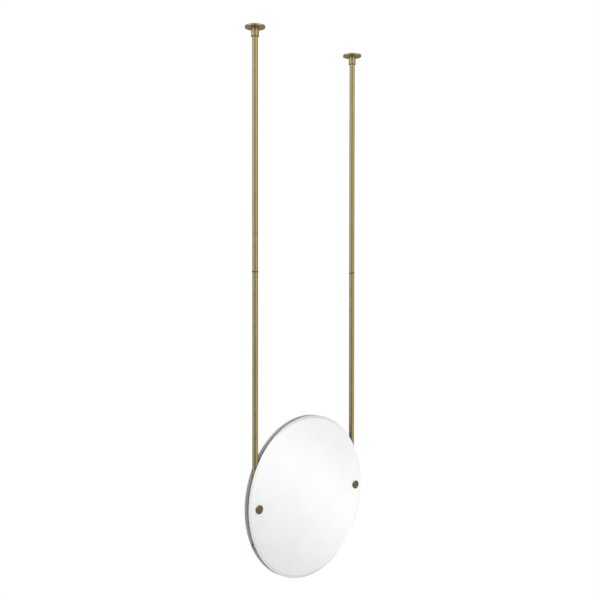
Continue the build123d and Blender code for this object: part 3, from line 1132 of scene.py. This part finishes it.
studio_white, tree, shader = finish("white studio floor")
tree.nodes.remove(shader)
paint = put(tree, "ShaderNodeBsdfDiffuse", {"Color": (0.8, 0.8, 0.8, 1.0)})
glow = put(tree, "ShaderNodeEmission", {"Color": (1.0, 1.0, 1.0, 1.0), "Strength": 1.0})
seen = put(tree, "ShaderNodeLightPath").outputs["Is Camera Ray"]
either = put(tree, "ShaderNodeMixShader", {0: seen, 1: paint.outputs[0], 2: glow.outputs[0]})
tree.links.new(either.outputs[0], tree.nodes["Material Output"].inputs["Surface"])
mesh = bpy.data.meshes.new("floor")
mesh.from_pydata(
    [
        (-FLOOR_REACH, -FLOOR_REACH, -FLOOR_DROP),
        (FLOOR_REACH, -FLOOR_REACH, -FLOOR_DROP),
        (FLOOR_REACH, FLOOR_REACH, -FLOOR_DROP),
        (-FLOOR_REACH, FLOOR_REACH, -FLOOR_DROP),
    ],
    [],
    [(0, 1, 2, 3)],
)
mesh.materials.append(studio_white)
floor = bpy.data.objects.new("floor", mesh)
floor.visible_glossy = False
bpy.context.scene.collection.objects.link(floor)

studio = bpy.data.worlds.new("studio")
studio.use_nodes = True
bpy.context.scene.world = studio
sky = studio.node_tree
sky.nodes.clear()
x, y, z = put(
    sky, "ShaderNodeSeparateXYZ", {0: put(sky, "ShaderNodeTexCoord").outputs["Generated"]}
).outputs
flat = sums(sky, "SQRT", sums(sky, "ADD", sums(sky, "MULTIPLY", x, x), sums(sky, "MULTIPLY", y, y)))


def towards(turn, sharpness, dip=None):
    """A soft glow at so many degrees from -Y round to +X, over all heights or at one dip."""
    across, ahead = math.sin(math.radians(turn)), -math.cos(math.radians(turn))
    along = sums(sky, "ADD", sums(sky, "MULTIPLY", x, across), sums(sky, "MULTIPLY", y, ahead))
    if dip is None:
        facing = sums(sky, "DIVIDE", along, flat)
    else:
        level = sums(sky, "MULTIPLY", along, math.cos(math.radians(dip)))
        facing = sums(sky, "ADD", level, sums(sky, "MULTIPLY", z, -math.sin(math.radians(dip))))
    return sums(sky, "POWER", sums(sky, "MAXIMUM", facing, 0.0), sharpness)


def stack(*glows):
    """Brightness of several glows of (amount, glow) added up."""
    total = 0.0
    for amount, glow in glows:
        total = sums(sky, "MULTIPLY_ADD", glow, amount, total)
    return total


sides = stack(
    (SIDE_LIGHT, towards(11.0, 12.0)),
    (SIDE_LIGHT, towards(-107.0, 10.0)),
    (RIGHT_DIMMED, towards(102.0, 4.0)),
)
around = sums(sky, "ADD", sides, BASE_LIGHT)
height = put(sky, "ShaderNodeMapRange", {0: z, 1: -0.20, 2: 0.26, 3: 0.62, 4: 1.08})
overhead = put(sky, "ShaderNodeMapRange", {0: z, 1: 0.36, 2: 0.75, 3: 0.0, 4: 1.0})
lights = stack(
    (OVERHEAD_LIGHT, overhead.outputs[0]), (REAR_LIGHT, towards(134.0, 8.0, dip=22.0))
)
shaped = sums(sky, "MULTIPLY_ADD", around, height.outputs[0], lights)


def aimed(turn, dip):
    """The direction at so many degrees from -Y round to +X, and so many below the level."""
    turn, dip = math.radians(turn), math.radians(dip)
    level = math.cos(dip)
    return Vector((math.sin(turn) * level, -math.cos(turn) * level, -math.sin(dip)))


slant = aimed(*PANEL_LEFT_END).cross(aimed(*PANEL_RIGHT_END)).normalized()
terms = [sums(sky, "MULTIPLY", part, slant[axis]) for axis, part in enumerate((x, y, z))]
off_line = sums(sky, "ADD", sums(sky, "ADD", terms[0], terms[1]), terms[2])
edge = put(
    sky,
    "ShaderNodeMapRange",
    {0: off_line, 1: -RIDGE_HALF_WIDTH, 2: RIDGE_HALF_WIDTH, 3: PANEL_LOWER, 4: PANEL_UPPER},
)
slope = sums(sky, "MULTIPLY_ADD", sums(sky, "ABSOLUTE", off_line), -PANEL_FALL, PANEL_PEAK)
ridge = sums(sky, "MAXIMUM", slope, edge.outputs[0])
ends = stack((0.13, towards(33.0, 90.0, dip=12.0)), (0.12, towards(59.0, 90.0, dip=15.0)))
ridge = sums(sky, "ADD", ridge, ends)
reach = put(
    sky,
    "ShaderNodeMapRange",
    {0: towards(44.0, 1.0), 1: 0.88, 2: 0.965},
    interpolation_type="SMOOTHSTEP",
)
below = put(
    sky, "ShaderNodeMapRange", {0: z, 1: 0.02, 2: -0.09}, interpolation_type="SMOOTHSTEP"
)
opened = sums(sky, "MULTIPLY", reach.outputs[0], below.outputs[0])
total = put(sky, "ShaderNodeMix", {0: opened, 2: shaped, 3: ridge}, data_type="FLOAT").outputs[0]
lit = put(sky, "ShaderNodeBackground", {"Color": (1.0, 1.0, 1.0, 1.0), "Strength": total})
white = put(sky, "ShaderNodeBackground", {"Color": (1.0, 1.0, 1.0, 1.0), "Strength": 1.0})
seen = put(sky, "ShaderNodeLightPath").outputs["Is Camera Ray"]
either = put(sky, "ShaderNodeMixShader", {0: seen, 1: lit.outputs[0], 2: white.outputs[0]})
put(sky, "ShaderNodeOutputWorld", {0: either.outputs[0]})
